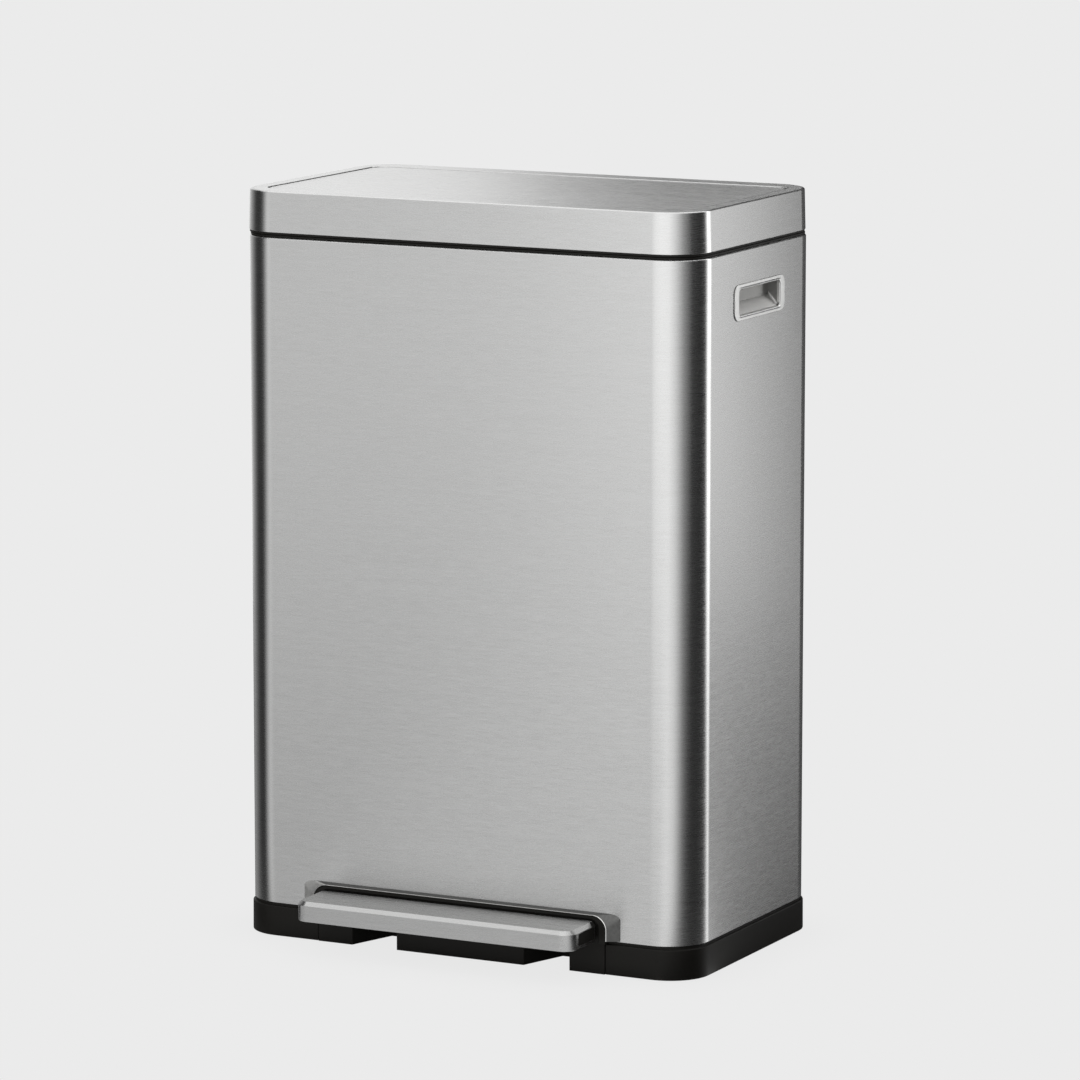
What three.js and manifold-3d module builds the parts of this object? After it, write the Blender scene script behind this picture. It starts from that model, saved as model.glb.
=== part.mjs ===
// Rectangular step-on waste bin: brushed steel body and lid, black base, full-width pedal.
// Millimetres, +Z up, X across, -Y towards the pedal. The floor is Z = 0.
import * as THREE from "three";
import { mergeVertices } from "three/addons/utils/BufferGeometryUtils.js";
import Module from "manifold-3d";

// ---------------------------------------------------------------- driving dimensions

const SIDES = { left: -1, right: 1 };
const GAP = 0.3; // air between two pieces that meet
const SHEET = 1; // steel sheet
const ARC_STEPS = 3; // half the number of facets on a quarter round

const HEIGHT = 658;
const BASE = { width: 441.5, depth: 261, radius: 37, top: 27.5, wall: 3, ground: 0.8 };
const FLOOR = { bottom: 3.5, top: 7 };
const UPSTAND = { width: 436.5, depth: 256, radius: 34.5, wall: 3, top: 44 };
const BODY = { width: 439.5, depth: 259, radius: 36, bottom: 30.3, top: 617.7, hem: 8 };
const RIM = { width: 436.5, depth: 256, radius: 34.5, bottom: 618, top: 620, skirtBottom: 606 };
const LID = { width: 439.8, depth: 258.4, radius: 36, centreY: -1.3, bottom: 622.4 };
const PANEL = { width: 407, depth: 209, radius: 13, centreY: -1.5, top: 657.4, thickness: 2.8 };
const PANEL_SEAM = 0.8;
const LINER = { top: 654.3, plate: 2.8, wall: 2.5, bottom: 620.4, ledge: 9, ledgeUp: 3.9 };

const BUCKET = {
  width: 388,
  depth: 188,
  radius: 24,
  centreY: -16,
  bottom: 64,
  wall: 2,
  flange: 6,
  narrowing: [0.96, 0.9],
};

const HINGE = { y: 119, z: 644, pin: 2.5, lug: 6, x: 135, width: 31, knuckle: 14 };
const HINGE_NOTCH = { width: 36, top: 650.5, front: 104 };
const ROD = { x: 84, y: 91, radius: 3, bottom: 24.2, top: 630, capTop: 638.4 };
const BRIDGE = { bottom: 564, top: 572 };
const DAMPER = { radius: 8, bottom: 408, top: 528, bore: 3, rod: 2.5 };

const AXLE = { y: -60, z: 18, radius: 4, reach: 95 };
const ARM = { thickness: 5, bottom: 13, top: 23, rear: 97, eye: 9, bush: 5.8 };
const PEDAL = {
  reach: 134.5,
  front: -185,
  back: -134,
  bottom: 30.5,
  top: 48,
  chamfer: 3.3,
  radius: 12,
  rearRadius: 5,
};

const SURROUND = { front: -135, back: -129.8, reach: 142.9, top: 52.8, bottom: 30.8, radius: 13 };
const SURROUND_REAR = { reach: 153.9, top: 54.2, cornerAcross: 12, cornerUp: 5 };
const BEZEL = { reach: 135.3, top: 48.6, radius: 8, face: -130.8, rear: -83.6, seam: 139.7 };
const LINING = { reach: 142, top: 51.9, radius: 12.1, bottom: 28, front: -134.7, back: -129.8 };
const FOOT = { centreFront: 62, centreRear: 78, outerFront: 106, outerRear: 90 };
const ARM_SLOT = { inner: 78, outer: 90, rear: -103, top: 46 };

const HANDLE = { y: 3, z: 573.5, length: 101.5, height: 31, radius: 8, depth: 10.5, lap: 2.4 };
const HANDLE_MOUTH = { length: 83, height: 22, rise: 9.5 };
const RUBBER_FOOT = { x: 185, y: 98, radius: 12, height: 3.2 };
const HINGE_SCREW = { y: 110, z: 615.7 };
const SCREW_HOLE = 2.1; // radius
const BEARING_X = 72;
const PEDAL_GAP = 136; // half width of the cut-out in the body for the pedal
const BUMPER = { x: 212, y: -85, radius: 3, bottom: 620.3, top: 624 };
const LINER_SCREW = { x: 190, y: 80, z: 649.2 };

// The pedal stands in front of the base, and the part's origin is the middle of the whole footprint.
const FRAME_SHIFT = -(PEDAL.front + BASE.depth / 2) / 2;

// ---------------------------------------------------------------- materials

const finish = (color, roughness, metalness) => () =>
  new THREE.MeshStandardMaterial({ color, roughness, metalness });
const brushedSteel = finish(0xb9bab8, 0.35, 1);
const plainSteel = finish(0x9a9c9d, 0.4, 1);
const blackPlastic = finish(0x1b1b19, 0.55, 0);
const greyPlastic = finish(0x4a4c4e, 0.6, 0);
const rubber = finish(0x151515, 0.85, 0);

// ---------------------------------------------------------------- solids

const wasm = await Module();
wasm.setup();

function solidOf(geometry) {
  geometry.deleteAttribute("normal");
  geometry.deleteAttribute("uv");
  const merged = mergeVertices(geometry, 1e-4);
  const vertProperties = merged.attributes.position.array;
  const triVerts = new Uint32Array(merged.index.array);
  return new wasm.Manifold(new wasm.Mesh({ numProp: 3, vertProperties, triVerts }));
}

function geometryOf(solid) {
  const mesh = solid.getMesh();
  const geometry = new THREE.BufferGeometry();
  geometry.setAttribute("position", new THREE.BufferAttribute(mesh.vertProperties, 3));
  geometry.setIndex(new THREE.BufferAttribute(mesh.triVerts, 1));
  geometry.computeVertexNormals();
  return geometry;
}

function box([x0, x1], [y0, y1], [z0, z1]) {
  const geometry = new THREE.BoxGeometry(x1 - x0, y1 - y0, z1 - z0);
  return solidOf(geometry.translate((x0 + x1) / 2, (y0 + y1) / 2, (z0 + z1) / 2));
}

function roundedRect(width, height, radius, centreY = 0) {
  const [x, y] = [width / 2, height / 2];
  const shape = new THREE.Shape();
  shape.absarc(x - radius, centreY + y - radius, radius, 0, Math.PI / 2);
  shape.absarc(radius - x, centreY + y - radius, radius, Math.PI / 2, Math.PI);
  shape.absarc(radius - x, centreY + radius - y, radius, Math.PI, 1.5 * Math.PI);
  shape.absarc(x - radius, centreY + radius - y, radius, 1.5 * Math.PI, 2 * Math.PI);
  return shape;
}

function polygon(points) {
  return new THREE.Shape(points.map(([x, y]) => new THREE.Vector2(x, y)));
}

function extrude(shape, depth) {
  return new THREE.ExtrudeGeometry(shape, { depth, bevelEnabled: false, curveSegments: ARC_STEPS });
}

// An outline in X and Y, standing on Z = bottom.
function prism(shape, bottom, top) {
  return solidOf(extrude(shape, top - bottom).translate(0, 0, bottom));
}

// An outline in Y and Z, running along X.
function slab(shape, x0, x1) {
  const turn = new THREE.Matrix4().makeBasis(
    new THREE.Vector3(0, 1, 0),
    new THREE.Vector3(0, 0, 1),
    new THREE.Vector3(1, 0, 0),
  );
  return solidOf(extrude(shape, x1 - x0).applyMatrix4(turn).translate(x0, 0, 0));
}

// An outline in X and Z, running along Y.
function facadeGeometry(shape, front, back) {
  const turn = new THREE.Matrix4().makeBasis(
    new THREE.Vector3(1, 0, 0),
    new THREE.Vector3(0, 0, 1),
    new THREE.Vector3(0, -1, 0),
  );
  return extrude(shape, back - front).applyMatrix4(turn).translate(0, back, 0);
}

function facade(shape, front, back) {
  return solidOf(facadeGeometry(shape, front, back));
}

// Passes every corner of a geometry to a function that moves it.
function reshaped(geometry, move) {
  const position = geometry.getAttribute("position");
  const corner = new THREE.Vector3();
  for (let i = 0; i < position.count; i += 1) {
    move(corner.fromBufferAttribute(position, i));
    position.setXYZ(i, corner.x, corner.y, corner.z);
  }
  return geometry;
}

// An outline in X and Y that narrows towards its foot.
function taperedPrism(outline, bottom, top, [footX, footY], centreY) {
  const upright = extrude(outline, top - bottom).translate(0, 0, bottom);
  const tapered = reshaped(upright, (corner) => {
    const share = (top - corner.z) / (top - bottom);
    corner.x *= 1 - share * (1 - footX);
    corner.y = centreY + (corner.y - centreY) * (1 - share * (1 - footY));
  });
  return solidOf(tapered);
}

function turned(radius, from, to, alongX = false) {
  const geometry = new THREE.CylinderGeometry(radius, radius, to - from, 16);
  geometry.translate(0, (from + to) / 2, 0);
  if (alongX) {
    geometry.rotateZ(-Math.PI / 2);
  } else {
    geometry.rotateX(Math.PI / 2);
  }
  return solidOf(geometry);
}

const joined = (first, ...rest) => rest.reduce((solid, next) => solid.add(next), first);
const cut = (first, ...rest) => rest.reduce((solid, next) => solid.subtract(next), first);

// ---------------------------------------------------------------- body

function ring(outer, inset, bottom, top) {
  const { width, depth, radius, centreY = 0 } = outer;
  const full = prism(roundedRect(width, depth, radius, centreY), bottom, top);
  const hole = roundedRect(width - 2 * inset, depth - 2 * inset, Math.max(radius - inset, 4), centreY);
  return cut(full, prism(hole, bottom - 1, top + 1));
}

function handleOutline(margin) {
  const { y, z, length, height, radius } = HANDLE;
  const outline = roundedRect(length + 2 * margin, height + 2 * margin, radius + margin, 0);
  const points = outline.getPoints(ARC_STEPS);
  return new THREE.Shape(points.map((p) => p.add(new THREE.Vector2(y, z))));
}

function bodyShell() {
  const wall = ring(BODY, SHEET, BODY.bottom, BODY.top);
  const hem = ring(BODY, BODY.hem, BODY.top - SHEET, BODY.top);
  const pedalGap = box([-PEDAL_GAP, PEDAL_GAP], [-BODY.depth, 0], [0, ARM_SLOT.top]);
  const handleGap = slab(handleOutline(-HANDLE.lap), -BODY.width, BODY.width);
  return cut(joined(wall, hem), pedalGap, handleGap);
}

function bodyRim() {
  const { width, depth, radius, centreY } = BUCKET;
  const plate = prism(roundedRect(RIM.width, RIM.depth, RIM.radius), RIM.bottom, RIM.top);
  const mouth = roundedRect(width + 4, depth + 4, radius, centreY);
  const insideHem = {
    width: BODY.width - 2 * BODY.hem - 1,
    depth: BODY.depth - 2 * BODY.hem - 1,
    radius: BODY.radius - BODY.hem - 0.5,
  };
  const skirt = ring(insideHem, 2, RIM.skirtBottom, RIM.bottom + 1);
  const rodHoles = Object.values(SIDES).map((side) =>
    turned(ROD.radius + 0.6, RIM.bottom - 1, RIM.top + 1).translate(side * ROD.x, ROD.y, 0),
  );
  const screwHoles = Object.values(SIDES).map((side) =>
    turned(SCREW_HOLE, RIM.bottom - 1, RIM.top + 1).translate(side * HINGE.x, HINGE_SCREW.y, 0),
  );
  const opening = prism(mouth, RIM.bottom - 1, RIM.top + 1);
  return cut(joined(plate, skirt), opening, ...rodHoles, ...screwHoles);
}

function baseMoulding() {
  const skirt = ring(BASE, BASE.wall, BASE.ground, BASE.top);
  const ledge = ring(BASE, 5.5, 22, BASE.top);
  const upstand = ring(UPSTAND, UPSTAND.wall, BASE.top - 1, UPSTAND.top);
  const plateOutline = roundedRect(BASE.width - 4, BASE.depth - 4, BASE.radius - 2);
  const plate = prism(plateOutline, FLOOR.bottom, FLOOR.top);
  const pedalBay = box(
    [-BEZEL.seam - 2 * GAP, BEZEL.seam + 2 * GAP],
    [-BASE.depth, BEZEL.rear + GAP],
    [-1, UPSTAND.top + 1],
  );
  const screwHoles = Object.values(SIDES).map((side) =>
    turned(SCREW_HOLE, 0, FLOOR.top + 1).translate(side * BEARING_X, AXLE.y, 0),
  );
  return cut(joined(skirt, ledge, upstand, plate), pedalBay, ...screwHoles);
}

// ---------------------------------------------------------------- pedal bay

function archOutline(reach, bottom, top, radius) {
  const shape = new THREE.Shape();
  shape.moveTo(-reach, bottom);
  shape.lineTo(reach, bottom);
  shape.absarc(reach - radius, top - radius, radius, 0, Math.PI / 2);
  shape.absarc(radius - reach, top - radius, radius, Math.PI / 2, Math.PI);
  return shape;
}

// A low frame round the pedal's mouth. Its sides slope out to a wider, sharper outline on the body.
function pedalSurround() {
  const { front, back, reach, top, bottom, radius } = SURROUND;
  const rear = SURROUND_REAR;
  const upright = facadeGeometry(archOutline(reach, bottom, top, radius), front, back);
  const flared = reshaped(upright, (corner) => {
    if (corner.y < (front + back) / 2) {
      return;
    }
    const across = Math.max(Math.abs(corner.x) - (reach - radius), 0) / radius;
    const up = Math.max(corner.z - (top - radius), 0) / radius;
    corner.x = Math.sign(corner.x) * (rear.reach - (1 - across) * rear.cornerAcross);
    corner.z = corner.z > bottom + GAP ? rear.top - (1 - up) * rear.cornerUp : bottom;
  });
  const outside = solidOf(flared);
  const { reach: x, top: z, radius: r } = LINING;
  return cut(outside, facade(archOutline(x + GAP, bottom - 1, z + GAP, r + GAP), front - 1, back + 1));
}

function pedalBezel() {
  const { reach, top, radius, face, rear, seam } = BEZEL;
  const outline = archOutline(LINING.reach, LINING.bottom, LINING.top, LINING.radius);
  const lining = facade(outline, LINING.front, LINING.back);
  const mouth = facade(archOutline(reach, 20, top, radius), -150, face - 0.5);
  const feet = [BASE.ground, BASE.top];
  const centre = polygon([
    [-FOOT.centreFront, face],
    [FOOT.centreFront, face],
    [FOOT.centreRear, rear],
    [-FOOT.centreRear, rear],
  ]);
  const outer = Object.values(SIDES).map((side) => {
    const corners = [
      [side * FOOT.outerFront, face],
      [side * seam, face],
      [side * seam, rear],
      [side * FOOT.outerRear, rear],
    ];
    return prism(polygon(side > 0 ? corners : corners.reverse()), ...feet);
  });
  const deck = box([-seam, seam], [face - 0.5, rear], [25.5, 29.7]);
  const sill = box([-seam, seam], [rear - 2.4, rear], [BASE.ground, 6.5]);
  const slots = Object.values(SIDES).map((side) => {
    const span = [side * ARM_SLOT.inner, side * ARM_SLOT.outer].sort((a, b) => a - b);
    return box(span, [-150, ARM_SLOT.rear], [20, ARM_SLOT.top]);
  });
  return cut(joined(cut(lining, mouth), prism(centre, ...feet), ...outer, deck, sill), ...slots);
}

// ---------------------------------------------------------------- handles and bucket

// A pressed cup with a flat frame round its mouth and a bottom that slopes up inwards. Built for
// the right side.
function handleCup() {
  const { y, z, depth } = HANDLE;
  const { length, height, rise } = HANDLE_MOUTH;
  const faceX = BODY.width / 2;
  const frame = slab(handleOutline(0), faceX + 0.15, BASE.width / 2);
  const cup = slab(handleOutline(-HANDLE.lap - GAP), faceX - depth - 1.5, faceX + 0.5);
  const [low, high] = [z - height / 2, z + height / 2];
  const hollow = polygon([
    [faceX + 2, low],
    [faceX + 2, high],
    [faceX - depth, high],
    [faceX - depth, low + rise],
    [faceX, low],
  ]);
  const pocket = facade(hollow, y - length / 2, y + length / 2);
  return cut(joined(frame, cup), pocket);
}

function innerBucket() {
  const { width, depth, radius, centreY, bottom, wall, flange, narrowing } = BUCKET;
  const seat = RIM.top + GAP;
  const top = seat + wall;
  const outside = roundedRect(width, depth, radius, centreY);
  const inside = roundedRect(width - 2 * wall, depth - 2 * wall, radius - wall, centreY);
  const lip = roundedRect(width + 2 * flange, depth + 2 * flange, radius + flange, centreY);
  const shell = taperedPrism(outside, bottom, top, narrowing, centreY);
  const hollow = taperedPrism(inside, bottom + 1.5 * wall, top + 1, narrowing, centreY);
  return cut(joined(shell, prism(lip, seat, top)), hollow);
}

// ---------------------------------------------------------------- hinge, built about the pivot line at X = 0

function hingeBracket() {
  const { width, lug, pin, knuckle } = HINGE;
  const seat = RIM.top + GAP - HINGE.z;
  const foot = box([-width / 2, width / 2], [-15, 6], [seat, seat + 6]);
  const stem = box([-width / 2, width / 2], [-lug, lug], [seat, 0]);
  const round = turned(lug, -width / 2, width / 2, true);
  const knuckleRoom = box([-knuckle / 2 - 0.5, knuckle / 2 + 0.5], [-10, 10], [-lug - 3, lug + 1]);
  const bore = turned(pin + GAP, -width, width, true);
  const screwHole = turned(SCREW_HOLE, seat - 1, seat + 7).translate(0, HINGE_SCREW.y - HINGE.y, 0);
  return cut(joined(foot, stem, round), knuckleRoom, bore, screwHole);
}

function lidKnuckle() {
  const { lug, pin, knuckle } = HINGE;
  const underside = LINER.top - LINER.plate - GAP - HINGE.z;
  const barrel = turned(lug, -knuckle / 2, knuckle / 2, true);
  const leaf = box([-knuckle / 2, knuckle / 2], [-27, 3], [underside - 4.7, underside]);
  return cut(joined(barrel, leaf), turned(pin + GAP, -knuckle, knuckle, true));
}

function screw(headRadius, headHeight, shankRadius, shankLength) {
  const head = turned(headRadius, 0, headHeight);
  return joined(head, turned(shankRadius, headHeight / 2, headHeight + shankLength));
}

// ---------------------------------------------------------------- lid

function hingeNotches() {
  const half = HINGE_NOTCH.width / 2;
  return Object.values(SIDES).map((side) =>
    box(
      [side * HINGE.x - half, side * HINGE.x + half],
      [HINGE_NOTCH.front, BASE.depth],
      [LINER.bottom - 5, HINGE_NOTCH.top],
    ),
  );
}

function lidFrame() {
  const skirt = ring(LID, SHEET, LID.bottom, HEIGHT);
  const top = prism(roundedRect(LID.width, LID.depth, LID.radius, LID.centreY), HEIGHT - SHEET, HEIGHT);
  const seam = { ...PANEL };
  seam.width += 2 * PANEL_SEAM;
  seam.depth += 2 * PANEL_SEAM;
  seam.radius += PANEL_SEAM;
  const lip = { ...seam };
  lip.width += 2 * SHEET;
  lip.depth += 2 * SHEET;
  lip.radius += SHEET;
  const turnedDown = ring(lip, SHEET, LINER.top + 0.5, HEIGHT);
  const hole = prism(
    roundedRect(seam.width, seam.depth, seam.radius, seam.centreY),
    LINER.top,
    HEIGHT + 1,
  );
  return cut(joined(skirt, top, turnedDown), hole, ...hingeNotches());
}

function lidPanel() {
  const { top, thickness } = PANEL;
  return prism(roundedRect(PANEL.width, PANEL.depth, PANEL.radius, PANEL.centreY), top - thickness, top);
}

function lidLiner() {
  const inset = SHEET + GAP;
  const outline = {
    width: LID.width - 2 * inset,
    depth: LID.depth - 2 * inset,
    radius: LID.radius - inset,
    centreY: LID.centreY,
  };
  const skirt = ring(outline, LINER.wall, LINER.bottom, LINER.top);
  const ledgeBottom = LINER.bottom + LINER.ledgeUp;
  const ledge = ring(outline, LINER.ledge, ledgeBottom, ledgeBottom + 2);
  const plate = prism(
    roundedRect(outline.width, outline.depth, outline.radius, outline.centreY),
    LINER.top - LINER.plate,
    LINER.top,
  );
  const below = LINER.bottom - 5;
  const rearRelief = box(
    [-BASE.width, BASE.width],
    [HINGE_NOTCH.front, BASE.depth],
    [below, LINER.bottom + 2.8],
  );
  const ledgeRelief = box([-BUMPER.x, BUMPER.x], [60, 122], [below, ledgeBottom + 3]);
  const screwHoles = linerScrewPlaces().map(([x, y]) =>
    turned(SCREW_HOLE, LINER.top - 6, HEIGHT).translate(x, y, 0),
  );
  return cut(joined(skirt, ledge, plate), rearRelief, ledgeRelief, ...hingeNotches(), ...screwHoles);
}

function linerScrewPlaces() {
  const sides = Object.values(SIDES);
  return sides.flatMap((x) => sides.map((y) => [x * LINER_SCREW.x, PANEL.centreY + y * LINER_SCREW.y]));
}

// The foot of the lever meets the cap of a push rod. Built about the rod line at X = 0.
function lidLever() {
  const underside = LINER.top - LINER.plate - GAP;
  const foot = ROD.capTop + 0.6;
  const side = polygon([
    [-5, foot],
    [5, foot],
    [9, underside],
    [-9, underside],
  ]);
  return slab(side, -ARM.thickness / 2, ARM.thickness / 2);
}

// ---------------------------------------------------------------- pedal

function pedalOutline(inset) {
  const { reach, front, back, radius } = PEDAL;
  const [x, y0, y1] = [reach - inset, front + inset, back - inset];
  const [r, rear] = [radius - inset, PEDAL.rearRadius - inset];
  const shape = new THREE.Shape();
  shape.absarc(x - rear, y1 - rear, rear, 0, Math.PI / 2);
  shape.absarc(rear - x, y1 - rear, rear, Math.PI / 2, Math.PI);
  shape.absarc(r - x, y0 + r, r, Math.PI, 1.5 * Math.PI);
  shape.absarc(x - r, y0 + r, r, 1.5 * Math.PI, 2 * Math.PI);
  return shape;
}

function chamferedBar() {
  const { bottom, top, chamfer } = PEDAL;
  const options = {
    depth: top - bottom,
    bevelSize: chamfer,
    bevelThickness: chamfer,
    bevelOffset: -chamfer,
    bevelSegments: 1,
    curveSegments: ARC_STEPS,
  };
  const geometry = new THREE.ExtrudeGeometry(pedalOutline(0), options);
  const bar = solidOf(geometry.translate(0, 0, bottom - chamfer));
  return cut(bar, box([-200, 200], [-200, -100], [0, bottom]));
}

// The end plate of the bar, or with a margin the room for it.
function pedalCap(side, margin = 0) {
  const x = [PEDAL.reach - 1.6 - margin, PEDAL.reach].map((value) => side * value);
  const y = [PEDAL.front + PEDAL.radius + 2 - margin, PEDAL.back - 6 + margin];
  return box(x.sort((a, b) => a - b), y, [33 - margin, 44.4 + margin]);
}

function pedalCover() {
  const { bottom, top } = PEDAL;
  const hollow = prism(pedalOutline(2.1), bottom - 1, top - 2);
  const capRooms = Object.values(SIDES).map((side) => pedalCap(side, GAP));
  return cut(chamferedBar(), hollow, ...capRooms, ...armRooms(44));
}

function armRooms(top) {
  const reach = ARM.thickness / 2 + 0.5;
  return Object.values(SIDES).map((side) =>
    box([side * ROD.x - reach, side * ROD.x + reach], [-170.5, -130], [20, top]),
  );
}

function pedalCore() {
  const { bottom, top } = PEDAL;
  return cut(prism(pedalOutline(2.5), bottom + 0.5, top - 2.5), ...armRooms(top));
}

// The lever from the pedal bar, over the axle, to the foot of a push rod. Built at X = 0.
function pedalArm() {
  const { thickness, bottom, top, rear, eye, bush } = ARM;
  const side = polygon([
    [-170, 32],
    [-146, 32],
    [-118, bottom],
    [rear, bottom],
    [rear, top],
    [-118, top],
    [-140, 43],
    [-170, 43],
  ]);
  const half = thickness / 2;
  const round = turned(eye, -half, half, true).translate(0, AXLE.y, AXLE.z);
  const axleHole = turned(bush + GAP, -eye, eye, true).translate(0, AXLE.y, AXLE.z);
  const barHole = turned(3 + GAP, -eye, eye, true).translate(0, ROD.y, AXLE.z);
  return cut(joined(slab(side, -half, half), round), axleHole, barHole);
}

function sleeve(outer, inner, length) {
  return cut(turned(outer, -length / 2, length / 2, true), turned(inner, -length, length, true));
}

function axleBearing() {
  const block = box([-6, 6], [-10, 10], [FLOOR.top + GAP - AXLE.z, 8]);
  const screwHole = turned(SCREW_HOLE, -AXLE.z, -5.7);
  return cut(block, turned(AXLE.radius + GAP, -12, 12, true), screwHole);
}

// ---------------------------------------------------------------- rods and damper

function rodCap() {
  return cut(turned(5, RIM.top + 1, ROD.capTop), turned(ROD.radius + GAP, RIM.top, ROD.top + GAP));
}

function rodGuide() {
  const block = box([-12, 12], [84 - ROD.y, BODY.depth / 2 - SHEET - GAP - ROD.y], [296, 308]);
  return cut(block, turned(ROD.radius + 0.4, 290, 310));
}

function rodBridge() {
  const bar = box([-ROD.x - 6, ROD.x + 6], [-4, 4], [BRIDGE.bottom, BRIDGE.top]);
  const holes = Object.values(SIDES).map((side) =>
    turned(ROD.radius + GAP, BRIDGE.bottom - 1, BRIDGE.top + 1).translate(side * ROD.x, 0, 0),
  );
  return cut(bar, ...holes);
}

function damperCylinder() {
  const { radius, bottom, top, bore } = DAMPER;
  return cut(turned(radius, bottom, top), turned(bore, bottom + 20, top + 1));
}

function damperBracket() {
  const block = box([-13, 13], [80 - ROD.y, BODY.depth / 2 - SHEET - GAP - ROD.y], [-5, 5]);
  return cut(block, turned(DAMPER.radius + GAP, -6, 6));
}

// ---------------------------------------------------------------- assembly

const bin = new THREE.Group();
bin.position.y = FRAME_SHIFT;
const lid = new THREE.Group();
const pedal = new THREE.Group();
const rods = new THREE.Group();
bin.add(lid, pedal, rods);

function place(group, name, solid, material, [x, y, z] = [0, 0, 0], turn = 0) {
  const mesh = new THREE.Mesh(geometryOf(solid), material());
  mesh.name = name;
  mesh.position.set(x, y, z);
  mesh.rotation.z = turn;
  group.add(mesh);
}

function placePair(group, name, solid, material, [x, y, z]) {
  for (const [word, side] of Object.entries(SIDES)) {
    place(group, `${name}_${word}`, solid, material, [side * x, y, z]);
  }
}

place(bin, "body_shell", bodyShell(), brushedSteel);
place(bin, "body_rim", bodyRim(), blackPlastic);
place(bin, "base_moulding", baseMoulding(), blackPlastic);
place(bin, "pedal_surround", pedalSurround(), brushedSteel);
place(bin, "pedal_bezel", pedalBezel(), blackPlastic);
place(bin, "handle_cup_right", handleCup(), brushedSteel);
place(bin, "handle_cup_left", handleCup(), brushedSteel, [0, 2 * HANDLE.y, 0], Math.PI);
place(bin, "inner_bucket", innerBucket(), greyPlastic);

placePair(bin, "hinge_bracket", hingeBracket(), blackPlastic, [HINGE.x, HINGE.y, HINGE.z]);
placePair(bin, "hinge_pin", turned(HINGE.pin, -16.5, 16.5, true), plainSteel, [HINGE.x, HINGE.y, HINGE.z]);
placePair(bin, "hinge_screw", screw(4, 2, 1.8, 8.3), plainSteel, [HINGE.x, HINGE_SCREW.y, HINGE_SCREW.z]);

placePair(bin, "axle_bearing", axleBearing(), greyPlastic, [BEARING_X, AXLE.y, AXLE.z]);
placePair(bin, "axle_clip", sleeve(7, AXLE.radius + GAP, 2), plainSteel, [89.5, AXLE.y, AXLE.z]);
placePair(bin, "bearing_screw", screw(4, 2, 1.8, 8.6), plainSteel, [BEARING_X, AXLE.y, 1.2]);
const axle = turned(AXLE.radius, -AXLE.reach, AXLE.reach, true);
place(bin, "pedal_axle", axle, plainSteel, [0, AXLE.y, AXLE.z]);

placePair(bin, "rod_guide", rodGuide(), greyPlastic, [ROD.x, ROD.y, 0]);
place(bin, "damper_cylinder", damperCylinder(), blackPlastic, [0, ROD.y, 0]);
place(bin, "damper_bracket_lower", damperBracket(), greyPlastic, [0, ROD.y, DAMPER.bottom + 10]);
place(bin, "damper_bracket_upper", damperBracket(), greyPlastic, [0, ROD.y, DAMPER.top - 10]);

for (const [word, y] of Object.entries({ front: -RUBBER_FOOT.y, rear: RUBBER_FOOT.y })) {
  const pad = turned(RUBBER_FOOT.radius, 0, RUBBER_FOOT.height);
  placePair(bin, `foot_${word}`, pad, rubber, [RUBBER_FOOT.x, y, 0]);
}

place(lid, "lid_frame", lidFrame(), brushedSteel);
place(lid, "lid_panel", lidPanel(), brushedSteel);
place(lid, "lid_liner", lidLiner(), blackPlastic);
placePair(lid, "lid_knuckle", lidKnuckle(), blackPlastic, [HINGE.x, HINGE.y, HINGE.z]);
placePair(lid, "lid_lever", lidLever(), plainSteel, [ROD.x, ROD.y, 0]);
const bumper = turned(BUMPER.radius, BUMPER.bottom, BUMPER.top);
placePair(lid, "lid_bumper", bumper, rubber, [BUMPER.x, BUMPER.y, 0]);
linerScrewPlaces().forEach(([x, y], index) => {
  const name = `liner_screw_${index + 1}`;
  place(lid, name, screw(4, 2, 1.8, 2.8), plainSteel, [x, y, LINER_SCREW.z]);
});

place(pedal, "pedal_cover", pedalCover(), brushedSteel);
place(pedal, "pedal_core", pedalCore(), blackPlastic);
place(pedal, "pedal_cap_left", pedalCap(SIDES.left), blackPlastic);
place(pedal, "pedal_cap_right", pedalCap(SIDES.right), blackPlastic);
placePair(pedal, "pedal_arm", pedalArm(), plainSteel, [ROD.x, 0, 0]);
placePair(pedal, "arm_bush", sleeve(ARM.bush, AXLE.radius + GAP, 7), greyPlastic, [ROD.x, AXLE.y, AXLE.z]);
const crossbar = turned(3, -92, 92, true);
place(pedal, "pedal_crossbar", crossbar, plainSteel, [0, ROD.y, AXLE.z]);

placePair(rods, "push_rod", turned(ROD.radius, ROD.bottom, ROD.top), plainSteel, [ROD.x, ROD.y, 0]);
placePair(rods, "rod_cap", rodCap(), blackPlastic, [ROD.x, ROD.y, 0]);
place(rods, "rod_bridge", rodBridge(), plainSteel, [0, ROD.y, 0]);
const piston = turned(DAMPER.rod, DAMPER.bottom + 40, BRIDGE.bottom - GAP);
place(rods, "damper_rod", piston, plainSteel, [0, ROD.y, 0]);

export default bin;
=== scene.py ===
import math

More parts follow.
